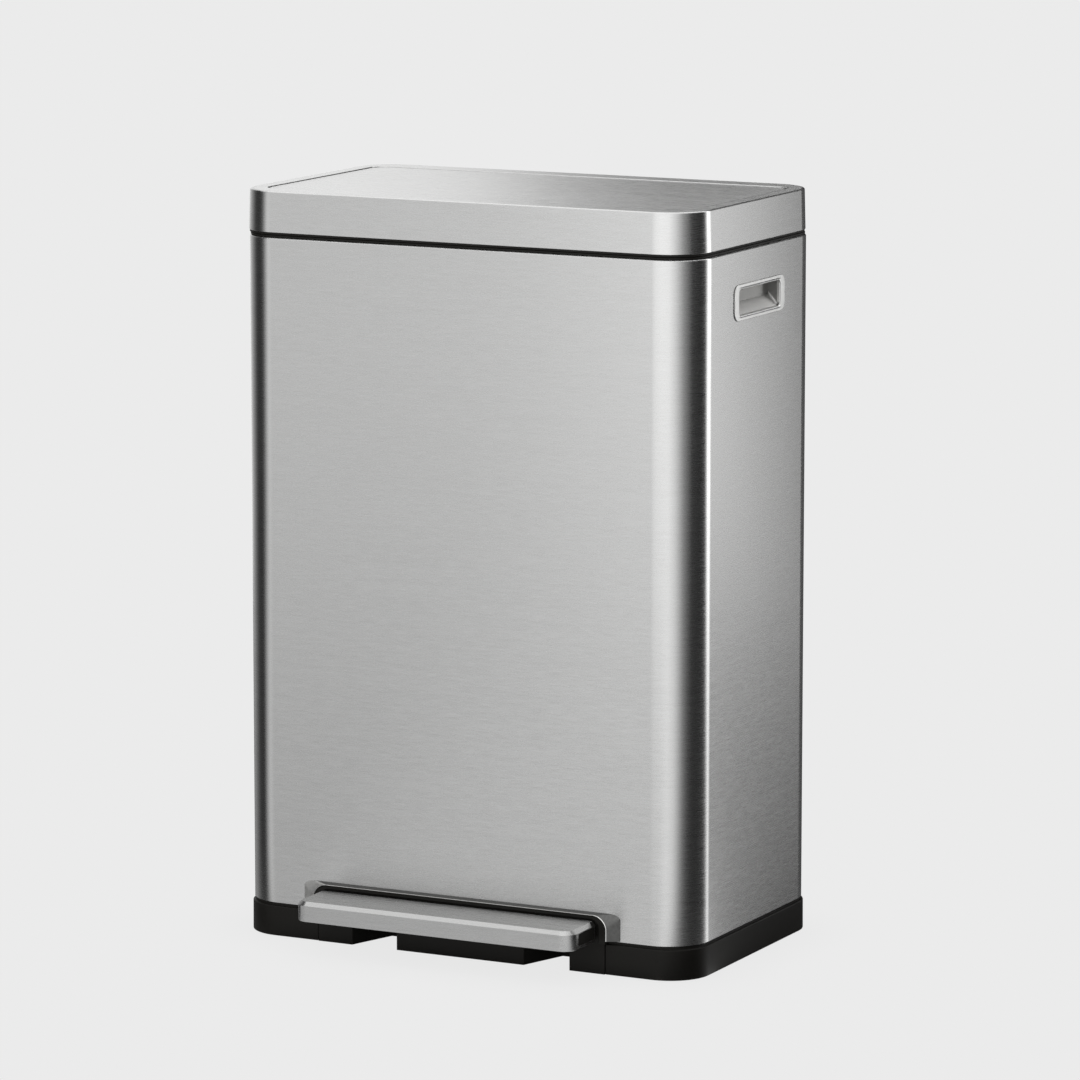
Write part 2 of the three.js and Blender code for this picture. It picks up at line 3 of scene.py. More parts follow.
import bmesh
import bpy
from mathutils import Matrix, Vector

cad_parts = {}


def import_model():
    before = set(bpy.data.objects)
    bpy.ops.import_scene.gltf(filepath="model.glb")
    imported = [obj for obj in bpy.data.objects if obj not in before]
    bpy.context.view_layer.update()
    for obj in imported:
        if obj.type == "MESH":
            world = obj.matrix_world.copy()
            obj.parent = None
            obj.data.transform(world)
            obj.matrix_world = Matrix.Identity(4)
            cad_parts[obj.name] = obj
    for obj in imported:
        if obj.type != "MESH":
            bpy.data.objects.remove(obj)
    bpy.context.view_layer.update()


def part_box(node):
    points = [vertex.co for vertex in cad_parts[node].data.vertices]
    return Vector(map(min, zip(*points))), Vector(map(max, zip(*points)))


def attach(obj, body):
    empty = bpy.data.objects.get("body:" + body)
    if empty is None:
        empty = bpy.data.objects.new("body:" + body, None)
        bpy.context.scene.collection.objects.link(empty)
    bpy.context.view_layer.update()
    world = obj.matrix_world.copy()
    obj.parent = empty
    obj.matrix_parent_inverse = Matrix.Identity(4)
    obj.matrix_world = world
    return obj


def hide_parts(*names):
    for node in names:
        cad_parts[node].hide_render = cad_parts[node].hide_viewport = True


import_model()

MM = 0.001
CORNER_STEPS = 14  # facets on a quarter round of an outline
FILLET_STEPS = 4  # facets on a rounded edge
LATHE_STEPS = 48
LEAST_RADIUS = 0.02 * MM  # a turned profile's end on its axis
WELD = 1e-6
BEVEL_ANGLE = math.radians(40)
SHARP_ANGLE = math.radians(35)
SIDES = {"left": -1, "right": 1}
XY, YZ, XZ = "XY", "YZ", "XZ"


# ------------------------------------------------------------------ mesh tools

def from_plane(plane, u, v, w):
    """A point u, v in a plane, at w along the plane's normal."""
    return {XY: (u, v, w), YZ: (w, u, v), XZ: (u, w, v)}[plane]


def fillet(before, at, after, radius):
    """The points of an arc of that radius between two straight lines that meet at a corner."""
    if radius <= 0:
        return [at]
    corner = Vector(at)
    to_before = Vector(before) - corner
    to_after = Vector(after) - corner
    half = to_before.angle(to_after) / 2
    reach = min(radius / math.tan(half), 0.49 * to_before.length, 0.49 * to_after.length)
    to_before.normalize()
    to_after.normalize()
    centre = corner + (to_before + to_after).normalized() * reach / math.cos(half)
    first = corner + to_before * reach - centre
    last = corner + to_after * reach - centre
    start = math.atan2(first.y, first.x)
    turn = math.remainder(math.atan2(last.y, last.x) - start, math.tau)
    size = first.length
    return [
        tuple(centre + size * Vector((math.cos(start + turn * k / FILLET_STEPS),
                                      math.sin(start + turn * k / FILLET_STEPS))))
        for k in range(FILLET_STEPS + 1)
    ]


def softened(points, closed=False):
    """A line of (a, b, fillet radius) corners as (a, b) points with the fillets in it."""
    line = []
    for i, (a, b, radius) in enumerate(points):
        ends = not closed and i in (0, len(points) - 1)
        before = points[i - 1][:2]
        after = points[(i + 1) % len(points)][:2]
        line += [(a, b)] if ends else fillet(before, (a, b), after, radius)
    return line


def loop(area, radius, w, rear=None, plane=XY):
    """A rounded rectangle. area is its low u, high u, low v and high v; rear is the radius at high v."""
    u0, u1, v0, v1 = area
    front = max(radius, 0.1 * MM)
    rear = front if rear is None else max(rear, 0.1 * MM)
    corners = (
        (u1 - rear, v1 - rear, rear, 0),
        (u0 + rear, v1 - rear, rear, 1),
        (u0 + front, v0 + front, front, 2),
        (u1 - front, v0 + front, front, 3),
    )
    points = []
    for u, v, r, quarter in corners:
        for k in range(CORNER_STEPS + 1):
            angle = (quarter + k / CORNER_STEPS) * math.pi / 2
            points.append(from_plane(plane, u + r * math.cos(angle), v + r * math.sin(angle), w))
    return points


def arch(reach, bottom, top, radius, y, up=None):
    """An arch in X and Z from its right foot to its left foot. radius is across and up is upwards."""
    up = radius if up is None else up
    points = [(reach, y, bottom)]
    for side in (1, -1):
        for k in range(CORNER_STEPS + 1):
            share = k / CORNER_STEPS if side > 0 else 1 - k / CORNER_STEPS
            angle = share * math.pi / 2
            x = side * (reach - radius + radius * math.cos(angle))
            points.append((x, y, top - up + up * math.sin(angle)))
    return points + [(-reach, y, bottom)]


def grown(area, by):
    u0, u1, v0, v1 = area
    return (u0 - by, u1 + by, v0 - by, v1 + by)


def area_of(node):
    low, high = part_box(node)
    return (low.x, high.x, low.y, high.y)


def centre_of(node):
    low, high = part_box(node)
    return (low + high) / 2


def new_piece(name, mesh):
    piece = bpy.data.objects.new(name, mesh)
    bpy.context.scene.collection.objects.link(piece)
    return piece


def skin(name, loops, ring=True, wrap=False):
    """A closed surface through loops of equally many points, capped unless the last meets the first."""
    work = bmesh.new()
    rows = [[work.verts.new(p) for p in points] for points in loops]
    count = len(rows[0])
    pairs = list(zip(rows, rows[1:])) + ([(rows[-1], rows[0])] if wrap else [])
    for near, far in pairs:
        for i in range(count if ring else count - 1):
            j = (i + 1) % count
            work.faces.new((near[i], near[j], far[j], far[i]))
    if not wrap:
        work.faces.new(rows[0])
        work.faces.new(rows[-1])
    if not ring:
        work.faces.new([row[0] for row in rows])
        work.faces.new([row[-1] for row in rows])
    bmesh.ops.remove_doubles(work, verts=work.verts, dist=WELD)
    bmesh.ops.recalc_face_normals(work, faces=work.faces)
    mesh = bpy.data.meshes.new(name)
    work.to_mesh(mesh)
    work.free()
    return new_piece(name, mesh)


def swept(name, area, radius, points, closed=False):
    """A profile of (inset, height, fillet) corners carried round a rounded rectangle."""
    line = softened(points, closed)
    loops = [loop(grown(area, -inset), radius - inset, z) for inset, z in line]
    return skin(name, loops, wrap=closed)


def circle(radius, steps):
    turns = [math.tau * k / steps for k in range(steps)]
    return [(radius * math.cos(turn), radius * math.sin(turn)) for turn in turns]


def turned(name, points, centre, axis="Z", steps=LATHE_STEPS, closed=False):
    """A profile of (radius, position, fillet) corners turned about an axis, on which an open one ends."""
    loops = []
    for radius, w in softened(points, closed):
        ring = circle(max(radius, LEAST_RADIUS), steps)
        if axis == "X":
            loops.append([(w + centre[0], u + centre[1], v + centre[2]) for u, v in ring])
        else:
            loops.append([(u + centre[0], v + centre[1], w + centre[2]) for u, v in ring])
    return skin(name, loops, wrap=closed)


def cylinder(name, radius, span, centre, axis="Z"):
    """A plain cylinder from span's first place to its second along the axis, for cutting and joining."""
    low, high = span
    return turned(name, [(0, low, 0), (radius, low, 0), (radius, high, 0), (0, high, 0)], centre, axis)


def prism(name, corners, plane, low, high):
    """An outline of (u, v, fillet) corners, extruded along the plane's normal."""
    line = softened(corners, closed=True)
    return skin(name, [[from_plane(plane, u, v, w) for u, v in line] for w in (low, high)])


def block(name, low, high, fillets=0):
    corners = [(low[0], low[1], fillets), (high[0], low[1], fillets),
               (high[0], high[1], fillets), (low[0], high[1], fillets)]
    return prism(name, corners, XY, low[2], high[2])


def combine(piece, tool, operation):
    """Cuts the tool out of the piece, or joins it on, and removes the tool."""
    step = piece.modifiers.new("combine", "BOOLEAN")
    step.operation = operation
    step.solver = "EXACT"
    step.object = tool
    bpy.context.view_layer.update()
    made = bpy.data.meshes.new_from_object(piece.evaluated_get(bpy.context.evaluated_depsgraph_get()))
    piece.modifiers.clear()
    old = piece.data
    piece.data = made
    bpy.data.meshes.remove(old)
    bpy.data.objects.remove(tool)
    return piece


def cut(piece, *tools):
    for tool in tools:
        combine(piece, tool, "DIFFERENCE")
    return piece


def joined(piece, *others):
    for other in others:
        combine(piece, other, "UNION")
    return piece


def bevelled(piece, width, segments=3):
    step = piece.modifiers.new("edges", "BEVEL")
    step.width = width
    step.segments = segments
    step.limit_method = "ANGLE"
    step.angle_limit = BEVEL_ANGLE
    return piece


def finished(piece, body, slot, *nodes):
    """Gives a piece its smooth faces, its material and its body, and the CAD nodes that it stands for.

    A slot with a dot in it is a variant of the slot before the dot: .top and .satin differ in grain or gloss,
    while .bar, .frame, .pocket, .shade and .dark are lighter or darker copies with painted light or shade in
    their colour.
    """
    mesh = piece.data
    mesh.shade_smooth()
    mesh.set_sharp_from_angle(angle=SHARP_ANGLE)
    normals = piece.modifiers.new("normals", "WEIGHTED_NORMAL")
    normals.keep_sharp = True
    mesh.materials.clear()
    mesh.materials.append(MATERIALS[slot])
    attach(piece, body)
    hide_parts(*nodes)
    return piece


# ------------------------------------------------------------------ materials

NOISE_LOW, NOISE_HIGH = 0.3, 0.7  # most of a noise texture lies between these
STEEL_DARK, STEEL_LIGHT = (0.583, 0.583, 0.579), (0.672, 0.673, 0.669)
BRUSHED_GLOSS = (0.24, 0.31)
SPECKLE = (420, 420, 420)


def new_material(name):
    material = bpy.data.materials.new(name)
    material.use_nodes = True
    nodes = material.node_tree.nodes
    return material, nodes, material.node_tree.links, nodes["Principled BSDF"]


def noise(nodes, links, scale, detail, seed=0.0):
    """Noise in the piece's own coordinates, stretched by a different scale along each axis."""
    place = nodes.new("ShaderNodeTexCoord")
    stretch = nodes.new("ShaderNodeMapping")
    stretch.inputs["Scale"].default_value = scale
    stretch.inputs["Location"].default_value = (seed, seed, seed)
    texture = nodes.new("ShaderNodeTexNoise")
    texture.inputs["Scale"].default_value = 1
    texture.inputs["Detail"].default_value = detail
    links.new(place.outputs["Object"], stretch.inputs["Vector"])
    links.new(stretch.outputs["Vector"], texture.inputs["Vector"])
    return texture.outputs["Fac"]


def between(nodes, links, factor, low, high):
    span = nodes.new("ShaderNodeMapRange")
    span.inputs["From Min"].default_value = NOISE_LOW
    span.inputs["From Max"].default_value = NOISE_HIGH
    span.inputs["To Min"].default_value = low
    span.inputs["To Max"].default_value = high
    links.new(factor, span.inputs["Value"])
    return span.outputs["Result"]


def tinted(nodes, links, factor, dark, light):
    ramp = nodes.new("ShaderNodeValToRGB")
    ramp.color_ramp.elements[0].position = NOISE_LOW
    ramp.color_ramp.elements[0].color = (*dark, 1)
    ramp.color_ramp.elements[1].position = NOISE_HIGH
    ramp.color_ramp.elements[1].color = (*light, 1)
    links.new(factor, ramp.inputs["Fac"])
    return ramp.outputs["Color"]


def bumped(nodes, links, shader, height, strength, distance):
    bump = nodes.new("ShaderNodeBump")
    bump.inputs["Strength"].default_value = strength
    bump.inputs["Distance"].default_value = distance
    links.new(height, bump.inputs["Height"])
    links.new(bump.outputs["Normal"], shader.inputs["Normal"])


def grain_direction(nodes, links):
    """Level and along the surface: up crossed with the surface's own normal, or X where it faces up."""
    place = nodes.new("ShaderNodeTexCoord")
    tip = nodes.new("ShaderNodeVectorMath")
    tip.operation = "ADD"
    tip.inputs[1].default_value = (0, -0.02, 0)
    links.new(place.outputs["Normal"], tip.inputs[0])
    level = nodes.new("ShaderNodeVectorMath")
    level.operation = "CROSS_PRODUCT"
    level.inputs[0].default_value = (0, 0, 1)
    links.new(tip.outputs[0], level.inputs[1])
    turn = nodes.new("ShaderNodeVectorTransform")
    turn.vector_type = "VECTOR"
    turn.convert_from = "OBJECT"
    turn.convert_to = "WORLD"
    links.new(level.outputs[0], turn.inputs[0])
    return turn.outputs[0]


def brushed_steel(name, fine, broad, roughness, tone=1.0):
    """Steel with a one-way grain. fine and broad are noise scales: low along the grain, high across it."""
    material, nodes, links, shader = new_material(name)
    grain = noise(nodes, links, fine, 4)
    drift = noise(nodes, links, broad, 3, seed=7.0)
    mixed = nodes.new("ShaderNodeMix")
    mixed.inputs["Factor"].default_value = 0.2
    links.new(grain, mixed.inputs["A"])
    links.new(drift, mixed.inputs["B"])
    streaks = mixed.outputs["Result"]
    dark = [tone * value for value in STEEL_DARK]
    light = [tone * value for value in STEEL_LIGHT]
    links.new(tinted(nodes, links, streaks, dark, light), shader.inputs["Base Color"])
    links.new(between(nodes, links, streaks, *roughness), shader.inputs["Roughness"])
    bumped(nodes, links, shader, grain, 0.05, 0.05 * MM)
    shader.inputs["Metallic"].default_value = 1
    shader.inputs["Anisotropic"].default_value = 0.88
    shader.inputs["Anisotropic Rotation"].default_value = 0.25
    links.new(grain_direction(nodes, links), shader.inputs["Tangent"])
    return material


def plain_metal(name, dark, light, roughness, scale):
    material, nodes, links, shader = new_material(name)
    marks = noise(nodes, links, scale, 4)
    links.new(tinted(nodes, links, marks, dark, light), shader.inputs["Base Color"])
    links.new(between(nodes, links, marks, *roughness), shader.inputs["Roughness"])
    bumped(nodes, links, shader, marks, 0.06, 0.05 * MM)
    shader.inputs["Metallic"].default_value = 1
    return material


def moulded(name, dark, light, roughness, texture, strength, specular=0.5):
    """Moulded plastic or rubber, with a fine texture and a slow change of gloss."""
    material, nodes, links, shader = new_material(name)
    slow = noise(nodes, links, (22, 22, 22), 3)
    links.new(tinted(nodes, links, slow, dark, light), shader.inputs["Base Color"])
    links.new(between(nodes, links, slow, *roughness), shader.inputs["Roughness"])
    bumped(nodes, links, shader, noise(nodes, links, (texture,) * 3, 2), strength, 0.04 * MM)
    shader.inputs["Specular IOR Level"].default_value = specular
    return material


MATERIALS = {
    "brushed_steel": brushed_steel("brushed_steel_walls", (60, 60, 1700), (8, 8, 260), BRUSHED_GLOSS),
    "brushed_steel.top": brushed_steel("brushed_steel_top", (60, 1700, 300), (8, 260, 60), BRUSHED_GLOSS),
    # The bar's copy of the wall steel is toned down to 0.80: painted shade on the pedal.
    "brushed_steel.bar": brushed_steel("brushed_steel_bar", (30, 1300, 1300), (6, 300, 300),
                                       BRUSHED_GLOSS, tone=0.80),
    "brushed_steel.satin": plain_metal("satin_steel", (0.60, 0.597, 0.585), (0.66, 0.657, 0.645),
                                       (0.19, 0.24), SPECKLE),
    # A lighter copy of the satin steel for the handle frames: painted light.
    "brushed_steel.frame": plain_metal("satin_steel_painted_light", (0.69, 0.69, 0.68), (0.75, 0.75, 0.74),
                                       (0.30, 0.36), SPECKLE),
    # Lit and shaded copies of pressed steel: painted light and painted shade in the handle pockets; the lit
    # copy is also painted light on the hood's left slope.
    "brushed_steel.pocket": plain_metal("pressed_steel", (0.56, 0.557, 0.545), (0.62, 0.617, 0.605),
                                        (0.46, 0.54), SPECKLE),
    "brushed_steel.shade": plain_metal("pressed_steel_shade", (0.27, 0.268, 0.262), (0.33, 0.328, 0.32),
                                       (0.40, 0.50), SPECKLE),
    # A dark copy of the satin steel: painted shade on the hood's right slope and a painted shadow line round
    # the handle frames.
    "brushed_steel.dark": plain_metal("satin_steel_painted_shade", (0.10, 0.10, 0.098), (0.13, 0.13, 0.127),
                                      (0.28, 0.34), SPECKLE),
    "plain_steel": plain_metal("plain_steel", (0.42, 0.42, 0.41), (0.56, 0.56, 0.55),
                               (0.25, 0.42), (160, 160, 160)),
    "black_plastic": moulded("black_plastic", (0.0090, 0.0084, 0.0072), (0.0120, 0.0112, 0.0096),
                             (0.46, 0.56), 2600, 0.25, specular=0.16),
    "grey_plastic": moulded("grey_plastic", (0.070, 0.072, 0.076), (0.085, 0.088, 0.092),
                            (0.45, 0.55), 2200, 0.3),
    "rubber": moulded("rubber", (0.012, 0.012, 0.012), (0.020, 0.020, 0.020), (0.7, 0.85), 1600, 0.35),
}


# ------------------------------------------------------------------ body

BIN, LID, PEDAL, RODS = "bin_body", "lid", "pedal", "push_rods"
SHEET = 1.0 * MM
CLEAR = 0.4  # past the bin on any side, for a tool that cuts right through
BODY_CORNER = 38 * MM
BASE_CORNER = 37 * MM
BUCKET_CORNER = 24 * MM
BASE_TOP = 27.5 * MM  # where the black band ends, below the upstand that the steel hides
BAY_OPENING = 136 * MM  # half the width of the cut-out in the steel behind the pedal
BAY_TOP = 46 * MM
BAY_SEAM = 140.3 * MM  # half the width of the gap in the base that the bezel fills

body_low, body_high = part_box("body_shell")
base_low, base_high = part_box("base_moulding")
rim_low, rim_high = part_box("body_rim")
lid_low, lid_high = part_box("lid_frame")
liner_low, liner_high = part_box("lid_liner")
panel_low, panel_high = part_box("lid_panel")
bucket_low, bucket_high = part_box("inner_bucket")
bar_low, bar_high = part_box("pedal_cover")
hood_low, hood_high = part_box("pedal_surround")
bezel_low, bezel_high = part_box("pedal_bezel")
SHIFT = (base_low.y + base_high.y) / 2  # from the middle of the base to the origin
ROD = centre_of("push_rod_right")


def handle_hole(side):
    """The opening in the wall behind the frame of a handle."""
    low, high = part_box("handle_cup_right" if side > 0 else "handle_cup_left")
    lap, corner = 2.4 * MM, 5 * MM
    area = grown((low.y, high.y, low.z, high.z), -lap)
    inner, outer = body_high.x - 12 * MM, body_high.x + 5 * MM
    span = (inner, outer) if side > 0 else (-outer, -inner)
    return skin("tool", [loop(area, corner, x, plane=YZ) for x in span])


def body_shell():
    bottom, top = body_low.z, body_high.z
    hem, curl = 8 * MM, 1.5 * MM
    profile = [
        (0, bottom, 0.2 * MM),
        (0, top, curl),
        (hem, top, 0.5 * MM),
        (hem, top - 3 * MM, 0.3 * MM),
        (hem - SHEET, top - 3 * MM, 0.3 * MM),
        (hem - SHEET, top - SHEET, 0.4 * MM),
        (SHEET, top - SHEET, curl - SHEET),
        (SHEET, bottom, 0.2 * MM),
    ]
    wall = swept("body_shell", area_of("body_shell"), BODY_CORNER, profile, closed=True)
    bay = block("tool", (-BAY_OPENING, -CLEAR, 0), (BAY_OPENING, 0, BAY_TOP))
    cut(wall, bay, handle_hole(1), handle_hole(-1))
    finished(wall, BIN, "brushed_steel", "body_shell")


def body_rim():
    """A ledge on the steel's top edge, with a skirt inside the steel and holes for the two rods."""
    seat, top, foot = body_high.z + 0.3 * MM, rim_high.z, rim_low.z
    outside, corner = area_of("body_rim"), 34.5 * MM
    mouth = grown(area_of("inner_bucket"), -4 * MM)
    skirt, thick, step = 7.5 * MM, 2 * MM, 1 * MM
    outer_edge = [(step, seat, 0), (0, seat, 0.4 * MM), (0, top, 0.6 * MM), (step, top, 0)]
    mouth_edge = [(step, top, 0), (0, top, 0.7 * MM), (0, seat, 0.5 * MM), (step, seat, 0)]
    under = [
        (skirt + thick + step, seat, 0),
        (skirt + thick, seat, 0.5 * MM),
        (skirt + thick, foot, 0.6 * MM),
        (skirt, foot, 0.6 * MM),
        (skirt, seat, 0.5 * MM),
        (skirt - step, seat, 0),
    ]
    loops = [loop(grown(outside, -a), corner - a, z) for a, z in softened(outer_edge)]
    loops += [loop(grown(mouth, a), BUCKET_CORNER + a, z) for a, z in softened(mouth_edge)]
    loops += [loop(grown(outside, -a), corner - a, z) for a, z in softened(under)]
    rim = skin("body_rim", loops, wrap=True)
    hole, span = 3.7 * MM, (0, 20 * MM)
    cut(rim, *(cylinder("tool", hole, span, (side * ROD.x, ROD.y, seat - 4 * MM)) for side in SIDES.values()))
    finished(rim, BIN, "black_plastic", "body_rim")


def base_moulding():
    bottom = base_low.z
    foot, draft, upstand, wall = 3 * MM, 0.15 * MM, 2.5 * MM, 5.5 * MM
    floor_bottom, floor_top = 3.5 * MM, 7 * MM
    profile = [
        (8 * MM, floor_bottom, 0),
        (foot, floor_bottom, 0.8 * MM),
        (foot, bottom, 0.5 * MM),
        (0, bottom, 0.8 * MM),
        (draft, BASE_TOP, 1.3 * MM),
        (upstand, BASE_TOP, 0.4 * MM),
        (upstand, base_high.z, 0.5 * MM),
        (wall, base_high.z, 0.5 * MM),
        (wall, floor_top, 1.5 * MM),
        (12 * MM, floor_top, 0),
    ]
    base = swept("base_moulding", area_of("base_moulding"), BASE_CORNER, profile)
    gap = 0.3 * MM
    bay = block("tool", (-BAY_SEAM, -CLEAR, -10 * MM), (BAY_SEAM, bezel_high.y + gap, 60 * MM))
    cut(base, bay)
    finished(bevelled(base, 0.35 * MM, 2), BIN, "black_plastic", "base_moulding")


# ------------------------------------------------------------------ pedal bay

HOOD_REACH, HOOD_TOP, HOOD_CORNER = 142.9 * MM, 52.8 * MM, 13 * MM
HOOD_REAR_ACROSS, HOOD_REAR_UP = 12 * MM, 5 * MM
HOOD_STEPS = 5
HOOD_CURVE = 1.15  # above 1, the slope is steep near the rim and flattens towards the wall
HOOD_LIGHT_END = -115 * MM  # the slope left of this catches the light


def pedal_surround():
    """A steel frame whose narrow rim stands proud and whose outer face slopes back to the wall."""
    front, back = hood_low.y, hood_high.y
    bottom = hood_low.z
    thick, lip, shoulder = 0.6 * MM, 0.45 * MM, 0.15 * MM
    inner, top = HOOD_REACH - thick, HOOD_TOP - thick
    rows = [
        arch(inner, bottom, top, HOOD_CORNER - thick, back),
        arch(inner, bottom, top, HOOD_CORNER - thick, front + 0.2 * MM),
        arch(inner + shoulder, bottom, top + shoulder, HOOD_CORNER - lip, front),
        arch(HOOD_REACH - shoulder, bottom, HOOD_TOP - 0.1 * MM, HOOD_CORNER, front),
    ]
    reach, height, rim = HOOD_REACH + 0.3 * MM, HOOD_TOP + 0.1 * MM, front + 0.25 * MM
    for k in range(HOOD_STEPS + 1):
        share = k / HOOD_STEPS
        slope = share ** HOOD_CURVE
        rows.append(arch(
            reach + slope * (hood_high.x - reach),
            bottom,
            height + slope * (hood_high.z - height),
            HOOD_CORNER + slope * (HOOD_REAR_ACROSS - HOOD_CORNER),
            rim + share * (back - rim),
            HOOD_CORNER + slope * (HOOD_REAR_UP - HOOD_CORNER),
        ))
    hood = skin("pedal_surround", rows, ring=False, wrap=True)
    finished(hood, BIN, "brushed_steel.satin", "pedal_surround")
    hood.data.materials.append(MATERIALS["brushed_steel.dark"])
    hood.data.materials.append(MATERIALS["brushed_steel.pocket"])
    # Painted shade and light on the hood's slope: right of HOOD_LIGHT_END it has the dark steel, painted
    # shade; left of it, the lit pressed steel, painted light. The rim keeps the satin steel.
    for polygon in hood.data.polygons:
        if polygon.center.y > front + 0.3 * MM:
            polygon.material_index = 1 if polygon.center.x > HOOD_LIGHT_END else 2


def pedal_bezel():
    """The black lining of the hood, a plate behind it, and the three feet below it."""
    reach, top, corner = 142 * MM, 51.9 * MM, 12.1 * MM
    mouth_reach, mouth_top, mouth_corner = 135.3 * MM, 48.6 * MM, 8 * MM
    front, back = bezel_low.y, -129.8 * MM + SHIFT
    face = front + 3.6 * MM
    foot = 28 * MM
    soft, edge, inside = 0.5 * MM, 0.8 * MM, 1 * MM
    rows = [
        arch(reach, foot, top, corner, back),
        arch(reach, foot, top, corner, front + soft),
        arch(reach - soft, foot, top - soft, corner - soft, front),
        arch(mouth_reach + edge, foot, mouth_top + edge, mouth_corner + edge, front),
        arch(mouth_reach, foot, mouth_top, mouth_corner, front + edge),
        arch(mouth_reach - 0.2 * MM, foot, mouth_top - 0.2 * MM, mouth_corner, face),
    ]
    bezel = skin("pedal_bezel", rows, ring=False, wrap=True)
    plate = skin("tool", [arch(reach - inside, foot, top - inside, corner - inside, y - 0.1 * MM)
                          for y in (face, back)])

    front_face, rear = -130.8 * MM + SHIFT, bezel_high.y
    low, seam = bezel_low.z, 139.7 * MM
    feet = [[(-62 * MM, front_face, edge), (62 * MM, front_face, edge),
             (78 * MM, rear, 0), (-78 * MM, rear, 0)]]
    for side in SIDES.values():
        feet.append([(side * 106 * MM, front_face, edge), (side * seam, front_face, 0.3 * MM),
                     (side * seam, rear, 0), (side * 90 * MM, rear, 0)])
    deck = block("tool", (-seam + 0.01 * MM, front_face - 0.4 * MM, 25.5 * MM),
                 (seam - 0.01 * MM, rear - 0.1 * MM, 29.7 * MM))
    rail = block("tool", (-seam + 0.02 * MM, rear - 2.4 * MM, low + 0.1 * MM),
                 (seam - 0.02 * MM, rear - 0.2 * MM, 6.5 * MM))
    joined(bezel, plate, *(prism("tool", corners, XY, low, BASE_TOP) for corners in feet), deck, rail)

    arm, half_slot = 84 * MM, 6 * MM
    for side in SIDES.values():
        cut(bezel, block("tool", (side * arm - half_slot, -CLEAR / 2, 20 * MM),
                         (side * arm + half_slot, -103 * MM + SHIFT, BAY_TOP)))
    finished(bevelled(bezel, 0.35 * MM, 2), BIN, "black_plastic", "pedal_bezel")


# ------------------------------------------------------------------ handles and bucket

POCKET_STEPS = 8
ROLL_STEPS = 6


def handle_cup(word):
    """A flat frame on the wall round a pressed pocket, whose bottom slopes up inwards."""
    node = "handle_cup_" + word
    side = SIDES[word]
    low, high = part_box(node)
    face = max(abs(low.x), abs(high.x))
    back = min(abs(low.x), abs(high.x))
    wall = body_high.x
    neck_depth, lip = 2.2 * MM, 2.0 * MM
    seat, neck = wall + 0.15 * MM, wall - neck_depth
    frame_area, frame_corner = (low.y, high.y, low.z, high.z), 8 * MM
    cup_inset = 2.7 * MM
    y0, y1, z0, z1 = low.y + 9.25 * MM, high.y - 9.25 * MM, low.z + 4.5 * MM, high.z - 4.5 * MM
    mouth, mouth_corner = (y0, y1, z0, z1), 3.2 * MM
    depth, rise, curve, pocket_corner = 10.5 * MM, 9.5 * MM, 0.9, 3.0 * MM

    loops = [loop(grown(frame_area, -cup_inset), frame_corner - cup_inset, side * x, plane=YZ)
             for x in (back, seat)]
    for inset, x in softened([(0, seat, 0), (0, face, 0.7 * MM), (3.2 * MM, face, 0)]):
        loops.append(loop(grown(frame_area, -inset), frame_corner - inset, side * x, plane=YZ))
    for out, x in softened([(lip, face, 0), (0, face, 1.6 * MM), (0, neck, 0)]):
        loops.append(loop(grown(mouth, out), mouth_corner + out, side * x, plane=YZ))
    for k in range(1, POCKET_STEPS + 1):
        share = k / POCKET_STEPS
        x = neck - share * (depth - neck_depth)
        pocket = (y0, y1, z0 + rise * share ** curve, z1)
        loops.append(loop(pocket, pocket_corner, side * x, plane=YZ))

    piece = finished(skin(node, loops), BIN, "brushed_steel.frame", node)
    # Painted light and shade on the handle: the frame has the lighter steel, painted light; inside, upward
    # faces get the lit pressed steel and the other faces its shaded copy, painted shade; the frame's outer
    # edges get the dark steel, a painted shadow line.
    for painted_tone in ("pocket", "shade", "dark"):
        piece.data.materials.append(MATERIALS["brushed_steel." + painted_tone])
    inner = grown(mouth, lip + 0.2 * MM)
    for polygon in piece.data.polygons:
        x, y, z = abs(polygon.center.x), polygon.center.y, polygon.center.z
        within = inner[0] < y < inner[1] and inner[2] < z < inner[3]
        if x < wall - 2 * MM:
            polygon.material_index = 1 if polygon.normal.z > 0.3 else 2
        elif x < face - 0.5 * MM and not within:
            polygon.material_index = 3


def inner_bucket():
    """A tapered bucket with a rounded foot and a flange that hangs on the rim."""
    flange, wall, seat = 6 * MM, 2 * MM, 2 * MM
    lip = area_of("inner_bucket")
    bottom, top = bucket_low.z, bucket_high.z
    u0, u1, v0, v1 = grown(lip, -flange)
    middle = (v0 + v1) / 2
    narrow_x, narrow_y = 0.96, 0.9
    roll = 6 * MM

    def section(z, inset, extra=0.0):
        share = (top - z) / (top - bottom)
        fx = 1 - share * (1 - narrow_x)
        fy = 1 - share * (1 - narrow_y)
        area = (u0 * fx, u1 * fx, middle + (v0 - middle) * fy, middle + (v1 - middle) * fy)
        return loop(grown(area, -inset - extra), BUCKET_CORNER - inset - extra, z)

    def rounded(floor, inset, k):
        angle = k / ROLL_STEPS * math.pi / 2
        return section(floor + roll * (1 - math.cos(angle)), inset, roll * (1 - math.sin(angle)))

    loops = [rounded(bottom, 0, k) for k in range(ROLL_STEPS + 1)]
    loops.append(section(top - seat, 0))
    edge = [
        (flange - 0.5 * MM, top - seat, 0),
        (0, top - seat, 0.7 * MM),
        (0, top, 0.9 * MM),
        (flange + wall, top, 1.4 * MM),
        (flange + wall, top - 4 * MM, 0),
    ]
    loops += [loop(grown(lip, -a), BUCKET_CORNER + flange - a, z) for a, z in softened(edge)]
    loops += [rounded(bottom + 3 * MM, wall, k) for k in range(ROLL_STEPS, -1, -1)]
    finished(skin("inner_bucket", loops), BIN, "grey_plastic", "inner_bucket")


# ------------------------------------------------------------------ small turned and moulded pieces

